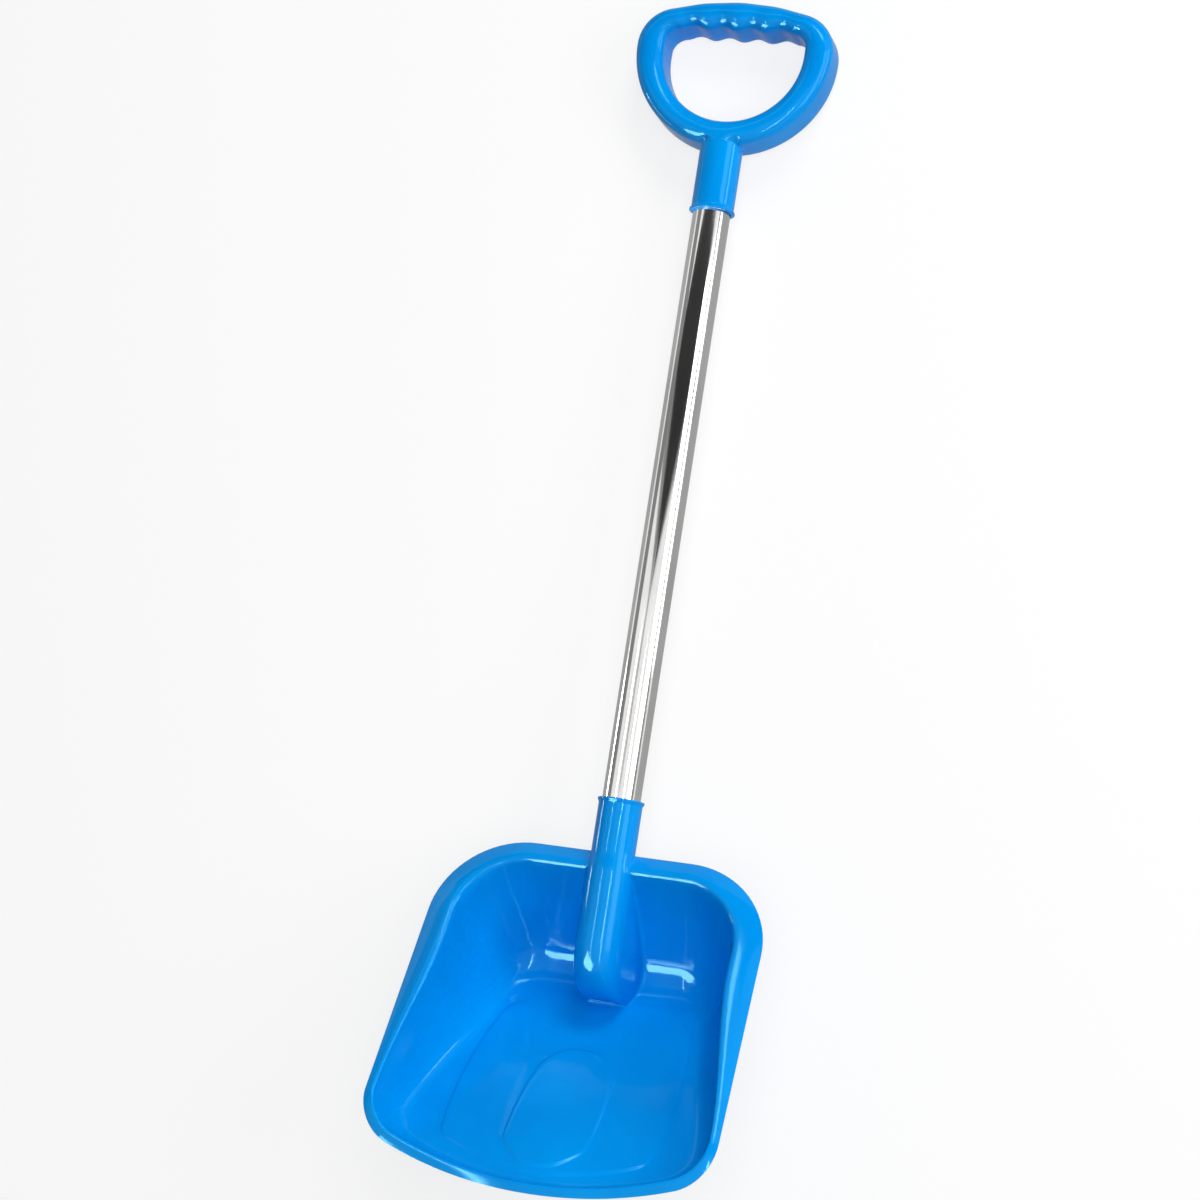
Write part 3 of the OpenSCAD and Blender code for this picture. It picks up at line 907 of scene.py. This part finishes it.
footX = gripMouth + grip["socketLength"]
innerRadius, outerRadius = grip["openingWidth"] / 2, grip["width"] / 2
outerCentre = footX + outerRadius
openingCentre = footX + grip["web"] + innerRadius
openingTop = footX + grip["web"] + grip["openingHeight"]
shoulderTop = openingTop + grip["bar"] - grip["barCrown"]
shoulderTurn = math.radians(grip["shoulderTurn"])
crownHalf = outerRadius - grip["shoulderRadius"] * (1 - math.cos(shoulderTurn))
crownFoot = shoulderTop - grip["shoulderRadius"] * (1 - math.sin(shoulderTurn))
crownRise = shoulderTop + grip["barCrown"] - crownFoot
gripBack = -grip["set"] - grip["depth"] / 2
gripFront = gripBack + grip["depth"]


def groove(y):
    if abs(y) >= 2 * grip["groovePitch"]:
        return 0.0
    return grip["grooveDepth"] * (1 - math.cos(math.tau * y / grip["groovePitch"])) / 2


def gripStation(u):
    # inner point, outer point and dip of the front face; u is 0 at the foot and 3 at the bar's middle
    if u <= 1:
        a = math.pi / 2 * u
        return (Vector((openingCentre - innerRadius * math.cos(a), innerRadius * math.sin(a))),
                Vector((outerCentre - outerRadius * math.cos(a), outerRadius * math.sin(a))), 0.0)
    if u <= 2:
        a, b = math.pi / 2 * (u - 1), shoulderTurn * (u - 1)
        inRound, outRound = grip["openingRadius"], grip["shoulderRadius"]
        return (Vector((openingTop - inRound * (1 - math.sin(a)),
                        innerRadius - inRound * (1 - math.cos(a)))),
                Vector((shoulderTop - outRound * (1 - math.sin(b)),
                        outerRadius - outRound * (1 - math.cos(b)))), 0.0)
    t = 3 - u
    y = (innerRadius - grip["openingRadius"]) * t
    return (Vector((openingTop + groove(y), y)),
            Vector((crownFoot + crownRise * (1 - t * t), crownHalf * t)),
            groove(y) * grip["waveShare"])


def gripSection(width, front):
    # closed section, rounded to the front and open at the back: (across, height)
    rise, wall = grip["faceRise"], grip["wall"]
    lipWide, lipDeep = grip["backLip"]
    sideSteps, lipSteps = grip["sideSteps"], grip["lipSteps"]
    shoulder = front - rise
    face = [(width / 2 - width / 2 * math.cos(math.pi * i / grip["faceSteps"]),
             shoulder + rise * math.sin(math.pi * i / grip["faceSteps"]))
            for i in range(grip["faceSteps"] + 1)]
    sides = [mix(shoulder, gripBack + lipDeep, i / sideSteps) for i in range(1, sideSteps + 1)]
    lip = [(lipWide * (1 - math.cos(math.pi / 2 * i / lipSteps)),
            gripBack + lipDeep * (1 - math.sin(math.pi / 2 * i / lipSteps)))
           for i in range(1, lipSteps + 1)]
    outerSide = [(width, z) for z in sides] + [(width - across, z) for across, z in lip]
    hollow = width / 2 - wall
    roof = [(width / 2 + hollow * math.cos(math.pi * i / grip["roofSteps"]),
             shoulder - wall / 2 + (rise - wall / 2) * math.sin(math.pi * i / grip["roofSteps"]))
            for i in range(grip["roofSteps"] + 1)]
    innerSide = lip[::-1] + [(0, z) for z in reversed(sides)]
    return face + outerSide + [(width - wall, gripBack)] + roof + [(wall, gripBack)] + innerSide


def ontoSocket(y, z, share):
    # lifts the outer half of the face onto the socket's round, and tucks its edge under it
    inside = socketRadius - y
    crown = math.sqrt(socketRadius ** 2 - y * y) if inside > 0 else grip["sideFall"] * inside
    onCrown = (z + crown + math.hypot(z - crown, grip["footBlend"])) / 2
    highest = max(z, socketRadius + grip["liftOver"])
    lifted = mix(z, min(onCrown, highest), ramp(share, *grip["liftShares"]))
    tuck = ramp(share, *grip["tuckShares"]) * (1 - ramp(inside, *grip["tuckInside"]))
    return mix(lifted, min(lifted, crown - grip["tuckUnder"]), tuck)


def gripRing(u, side):
    inner, outer, dip = gripStation(u)
    width = (outer - inner).length
    along = (outer - inner) / width
    ring = []
    for k, (across, z) in enumerate(gripSection(width, gripFront - dip)):
        y = inner.y + along.y * across
        if u < 1 and k <= grip["faceSteps"]:
            z = ontoSocket(y, z, across / width)
        ring.append(Vector((inner.x + along.x * across, side * y, z)))
    return ring


def ribPart(u, side):
    inner, outer, dip = gripStation(u)
    middle, across = (inner + outer) / 2, outer - inner
    span = across.length - grip["wall"]
    deep = grip["depth"] - grip["ribInset"] - grip["faceRise"] / 2 - dip
    bm = bmesh.new()
    bmesh.ops.create_cube(bm, size=1)
    bmesh.ops.scale(bm, vec=(span, grip["ribWidth"], deep), verts=bm.verts)
    bmesh.ops.rotate(bm, cent=(0, 0, 0), verts=bm.verts,
                     matrix=Matrix.Rotation(math.atan2(side * across.y, across.x), 3, "Z"))
    bmesh.ops.translate(bm, verts=bm.verts, vec=(middle.x, side * middle.y,
                                                 gripBack + grip["ribInset"] + deep / 2))
    return bm


def footFillet():
    # hollow curve between the socket's sides and the foot of the D
    fillet, sides, steps = grip["footFillet"], grip["footSides"], grip["footSteps"]
    reach = socketRadius + fillet
    foot = outerCentre - math.sqrt(outerRadius ** 2 - reach ** 2) + grip["footSunk"]
    rings = []
    for i in range(steps + 1):
        a = math.pi / 2 * i / steps
        ring = []
        for k in range(sides):
            turn = math.tau * k / sides
            out = fillet * (1 - math.cos(a)) * abs(math.cos(turn)) ** grip["footPower"]
            radius = socketRadius - grip["footUnder"] + out
            ring.append(Vector((foot - fillet * (1 - math.sin(a)),
                                radius * math.cos(turn), radius * math.sin(turn))))
        rings.append(ring)
    bm = bmesh.new()
    extrudeThrough(bm, rings)
    return closeUp(bm)


def gripMoulding():
    bm = bmesh.new()
    counts = (grip["lowSteps"], grip["shoulderSteps"], grip["barSteps"])
    stops = [k + i / count for k, count in enumerate(counts) for i in range(count)] + [3.0]
    rings = [gripRing(u, 1) for u in stops] + [gripRing(u, -1) for u in stops[-2::-1]]
    extrudeThrough(bm, rings)
    closeUp(bm)
    solid = tube["inGrip"] + socket["end"] + grip["socketReach"]
    addInto(bm, spinProfile(socketProfile(gripMouth, tube["inGrip"], solid, 1), socket["sides"]))
    addInto(bm, padPart(gripMouth + screw["inGripAt"]))
    addInto(bm, footFillet())
    for u in grip["ribsAt"]:
        for side in (1, -1):
            addInto(bm, ribPart(u, side))
    finishPiece(bm, "gripMoulding", gripBlue, "grip")


gripMoulding()


def brightTube():
    start, end = -tube["inScoop"], tube["free"] + tube["inGrip"]
    small, steps = tube["endRound"], tube["endSteps"]
    inner, outer = tubeRadius - tube["wall"] + small, tubeRadius - small
    profile = (roundCorner((start + small, inner), small, 270, 180, steps)
               + roundCorner((start + small, outer), small, 180, 90, steps)
               + roundCorner((end - small, outer), small, 90, 0, steps)
               + roundCorner((end - small, inner), small, 0, -90, steps))
    bm = spinProfile(profile, tube["sides"], closed=True)
    finishPiece(bm, "brightTube", tubeChrome, "shaft_tube")


brightTube()


def ringOf(radius, z):
    sides = screw["sides"]
    return [Vector((-radius * math.sin(math.tau * k / sides),
                    radius * math.cos(math.tau * k / sides), z)) for k in range(sides)]


def grownVerts(made):
    return [part for part in made["geom"] if isinstance(part, bmesh.types.BMVert)]


def crossRecess(bm, rimRadius):
    # a cross of quads, its walls flaring up to the face of the head; returns the ring round that face
    reach, half, deep = screw["slotReach"], screw["slotHalf"], screw["slotDepth"]
    middle = bmesh.ops.create_grid(bm, x_segments=1, y_segments=1, size=half)["verts"]
    for edge in list(middle[0].link_faces[0].edges):
        arm = bmesh.ops.extrude_edge_only(bm, edges=[edge])
        away = (edge.verts[0].co + edge.verts[1].co).normalized() * (reach - half)
        bmesh.ops.translate(bm, verts=grownVerts(arm), vec=away)
    bmesh.ops.recalc_face_normals(bm, faces=bm.faces)
    top = grownVerts(bmesh.ops.extrude_face_region(bm, geom=list(bm.faces)))
    bmesh.ops.translate(bm, verts=top, vec=(0, 0, -deep))
    bmesh.ops.scale(bm, vec=(screw["slotFlare"], screw["slotFlare"], 1), verts=top)
    openFaces = [f for f in bm.faces if all(v in top for v in f.verts)]
    outline = [e for f in openFaces for e in f.edges
               if sum(g in openFaces for g in e.link_faces) == 1]
    bmesh.ops.delete(bm, geom=openFaces, context="FACES_ONLY")
    ring = list(bmesh.ops.create_circle(bm, segments=screw["sides"], radius=rimRadius,
                                        matrix=Matrix.Translation((0, 0, -deep)))["verts"])
    rimEdges = list({e for v in ring for e in v.link_edges})
    bmesh.ops.triangle_fill(bm, use_beauty=True, edges=rimEdges + outline)
    return ring


def screwPart(at):
    # pan head below its pad, shank upward into the tube
    head, shank = screw["headDiameter"] / 2, screw["diameter"] / 2
    height, pitch = screw["headHeight"], screw["threadPitch"]
    face, under = -screw["slotDepth"], screw["headHeight"] - screw["slotDepth"]
    bm = bmesh.new()
    ring = crossRecess(bm, head * screw["dome"][0][0])
    # dome of the head, its under side and the shank
    for share, down in screw["dome"][1:]:
        ring = extrudeRing(bm, ring, ringOf(head * share, face + height * down))
    ring = extrudeRing(bm, ring, ringOf(shank, under))
    root, crest = screw["threadShares"]
    turns = int((screw["length"] - screw["diameter"] * screw["tipShare"]) / pitch)
    for k in range(turns):
        low = under + pitch * k
        ring = extrudeRing(bm, ring, ringOf(shank - screw["threadDepth"], low + pitch * root))
        ring = extrudeRing(bm, ring, ringOf(shank, low + pitch * crest))
        ring = extrudeRing(bm, ring, ringOf(shank, low + pitch))
    ring = extrudeRing(bm, ring, ringOf(shank / 2, under + screw["length"]))
    bmesh.ops.contextual_create(bm, geom=ringEdges(bm, ring))
    bmesh.ops.translate(bm, verts=bm.verts, vec=(at, 0, padFace - under))
    return closeUp(bm)


for name, at, cadNode in (("scoopScrew", -screw["inScoopAt"], "scoop_screw"),
                          ("gripScrew", gripMouth + screw["inGripAt"], "grip_screw")):
    finishPiece(screwPart(at), name, screwZinc, cadNode)

# studio, in metres
studio = {
    "floorColour": (0.9, 0.9, 0.9, 1),
    "floorRoughness": 0.9,
    "floorSize": 12.0,
    "floorGlow": 0.78,     # how much of the seen floor is plain white paper
    "glossyGlow": 0.45,    # the same, in reflections
    "white": (1.0, 1.0, 1.0, 1),
    "worldLight": 0.16,
}
# lamps round the shovel: turn is from straight up toward the right, in degrees, away is from the
# line under the tube, at is the place along it
lamps = [
    {"name": "keySoftbox", "turn": 56.0, "away": 1.4, "at": 0.25, "long": 1.2, "wide": 0.6,
     "power": 8.5, "mirrored": True},
    {"name": "topSoftbox", "turn": 14.0, "away": 1.5, "at": -0.15, "long": 1.4, "wide": 0.8,
     "power": 11.0, "mirrored": False},
    {"name": "farFill", "place": (1.6, -0.5, 1.2), "aim": (-0.2, 0.0, 0.0), "long": 0.8,
     "wide": 0.6, "power": 16.0, "mirrored": True},
]
# cards that only reflections see: bright strips that paint the highlights, dark and grey flags, and a
# grey sheet on the floor that paints the shovel's shadow into the reflections; a grey of 1 is white
# paper, and rearWide is the width at the scoop's end
cards = [
    {"name": "rightStrip", "turn": 24.0, "away": 1.45, "at": -0.52, "long": 1.16, "wide": 0.06,
     "grey": 40.0},
    {"name": "leftStrip", "turn": -21.5, "away": 1.45, "at": -0.45, "long": 1.1, "wide": 0.045,
     "grey": 34.0},
    {"name": "rightLow", "turn": 83.0, "away": 1.5, "at": 0.5, "long": 0.9, "wide": 0.24,
     "grey": 8.0},
    {"name": "leftLow", "turn": -86.0, "away": 1.5, "at": -0.4, "long": 0.9, "wide": 0.1,
     "grey": 22.0},
    {"name": "rearWindow", "place": (-1.2, 0.8, 1.2), "aim": (-0.19, 0.0, 0.0), "long": 1.2,
     "wide": 0.9, "grey": 28.0},
    {"name": "overheadCard", "turn": 3.0, "away": 1.5, "at": 0.78, "long": 1.0, "wide": 5.5,
     "rearWide": 0.2, "grey": 0.035},
    {"name": "overheadGrey", "turn": 7.0, "away": 1.54, "at": 0.78, "long": 1.0, "wide": 8.0,
     "rearWide": 0.45, "grey": 0.28},
    {"name": "tailCard", "turn": -6.0, "away": 1.52, "at": 0.1, "long": 0.5, "wide": 0.2,
     "grey": 0.45},
    {"name": "rightCard", "turn": 77.0, "away": 1.6, "at": 0.0, "long": 3.0, "wide": 0.4,
     "grey": 0.3},
    {"name": "leftCard", "turn": -67.0, "away": 1.6, "at": 0.2, "long": 3.4, "wide": 0.8,
     "grey": 0.25},
    {"name": "farCard", "place": (1.5, 0.3, 0.55), "aim": (0.0, 0.3, 0.55), "long": 3.0,
     "wide": 1.2, "grey": 0.03},
    # painted shadow: a grey sheet under the shovel that reflections see in place of the lit floor
    {"name": "floorShadeCard", "place": (0.0, 0.0, 0.0005), "aim": (0.0, 0.0, -1.0), "long": 1.2,
     "wide": 0.8, "grey": 0.42},
]


def lightPathAny(tree, labels):
    path = addNode(tree, "ShaderNodeLightPath", {})
    total = path.outputs[labels[0]]
    for label in labels[1:]:
        total = sums(tree, "MAXIMUM", total, path.outputs[label])
    return total


def studioWorld():
    world = bpy.data.worlds.new("studio")
    scene.world = world
    world.use_nodes = True
    tree = world.node_tree
    seen = lightPathAny(tree, ("Is Camera Ray", "Is Glossy Ray", "Is Transmission Ray"))
    feed(tree, tree.nodes["Background"], {
        "Color": studio["white"],
        "Strength": valueBetween(tree, seen, studio["worldLight"], 1.0),
    })


def stagePlane(name, long, wide, finish, matrix, rearShare=1.0):
    # a plane of one metre, scaled; rearShare narrows its end toward the scoop
    mesh = bpy.data.meshes.new(name)
    bm = bmesh.new()
    bmesh.ops.create_grid(bm, x_segments=1, y_segments=1, size=0.5)
    bmesh.ops.scale(bm, vec=(long, wide, 1), verts=bm.verts)
    bmesh.ops.transform(bm, matrix=matrix, verts=bm.verts)
    rear = [v for v in bm.verts if v.co.x < matrix.translation.x]
    bmesh.ops.scale(bm, vec=(1, rearShare, 1), verts=rear)
    bm.to_mesh(mesh)
    bm.free()
    mesh.materials.append(finish)
    plane = bpy.data.objects.new(name, mesh)
    scene.collection.objects.link(plane)
    return plane


def studioFloor():
    # white paper that keeps the shovel's shadow
    finish, tree, shader = newFinish("floorPaper")
    feed(tree, shader, {"Base Color": studio["floorColour"], "Roughness": studio["floorRoughness"],
                        "Specular IOR Level": 0.0})
    paper = addNode(tree, "ShaderNodeEmission", {"Color": studio["white"], "Strength": 1.0})
    seen = lightPathAny(tree, ("Is Camera Ray", "Is Transmission Ray"))
    mirrored = lightPathAny(tree, ("Is Glossy Ray",))
    share = sums(tree, "MAXIMUM", sums(tree, "MULTIPLY", seen, studio["floorGlow"]),
                 sums(tree, "MULTIPLY", mirrored, studio["glossyGlow"]))
    both = addNode(tree, "ShaderNodeMixShader", {0: share, 1: shader.outputs[0],
                                                 2: paper.outputs[0]})
    feed(tree, tree.nodes["Material Output"], {"Surface": both.outputs[0]})
    size = studio["floorSize"]
    stagePlane("floor", size, size, finish, Matrix.Identity(4))


def overShovel(item):
    # place and aim of a lamp or card that faces the shovel, its long side along the tube
    if "turn" in item:
        turn = math.radians(item["turn"])
        place = Vector((item["at"], -math.sin(turn) * item["away"], math.cos(turn) * item["away"]))
        aim = Vector((item["at"], 0, 0))
    else:
        place, aim = Vector(item["place"]), Vector(item["aim"])
    look = (aim - place).to_track_quat("-Z", "Y")
    return Matrix.Translation(place) @ look.to_matrix().to_4x4()


def softLamp(item):
    data = bpy.data.lights.new(item["name"], "AREA")
    data.shape, data.size, data.size_y = "RECTANGLE", item["long"], item["wide"]
    data.energy = item["power"]
    light = bpy.data.objects.new(item["name"], data)
    light.matrix_world = overShovel(item)
    light.visible_camera = False
    light.visible_glossy = item["mirrored"]
    scene.collection.objects.link(light)


def reflectionCard(item):
    finish, tree, _ = newFinish(item["name"])
    glow = addNode(tree, "ShaderNodeEmission", {"Color": studio["white"], "Strength": item["grey"]})
    feed(tree, tree.nodes["Material Output"], {"Surface": glow.outputs[0]})
    rearShare = item.get("rearWide", item["wide"]) / item["wide"]
    card = stagePlane(item["name"], item["long"], item["wide"], finish, overShovel(item), rearShare)
    card.visible_camera = card.visible_diffuse = card.visible_shadow = False
    card.visible_transmission = card.visible_volume_scatter = False


studioWorld()
studioFloor()
for item in lamps:
    softLamp(item)
for item in cards:
    reflectionCard(item)

# camera at the photograph's angle; places in mm along the tube, the image is square
camera = {
    "place": (-128.2, -403.9, 1408.7),
    "target": (97.35, 26.66, 0.0),
    "roll": 8.91,          # how far the tube leans to the right
    "lens": 90.0,
    "sensor": 36.0,
    "clip": (0.05, 50.0),  # metres
}


def photoCamera():
    data = bpy.data.cameras.new("photoCamera")
    data.lens, data.sensor_width = camera["lens"], camera["sensor"]
    data.clip_start, data.clip_end = camera["clip"]
    eye = bpy.data.objects.new("photoCamera", data)
    place, target = lying @ Vector(camera["place"]), lying @ Vector(camera["target"])
    look = (target - place).normalized()
    along = lying.to_3x3() @ Vector((1, 0, 0))
    up = (along - along.dot(look) * look).normalized()
    up = Matrix.Rotation(math.radians(-camera["roll"]), 3, look) @ up
    right = look.cross(up)
    turn = Matrix((right, up, -look)).transposed()
    eye.matrix_world = Matrix.Translation(place) @ turn.to_4x4()
    scene.collection.objects.link(eye)
    scene.camera = eye


photoCamera()
scene.view_settings.view_transform = "Standard"
print("studio and camera set")
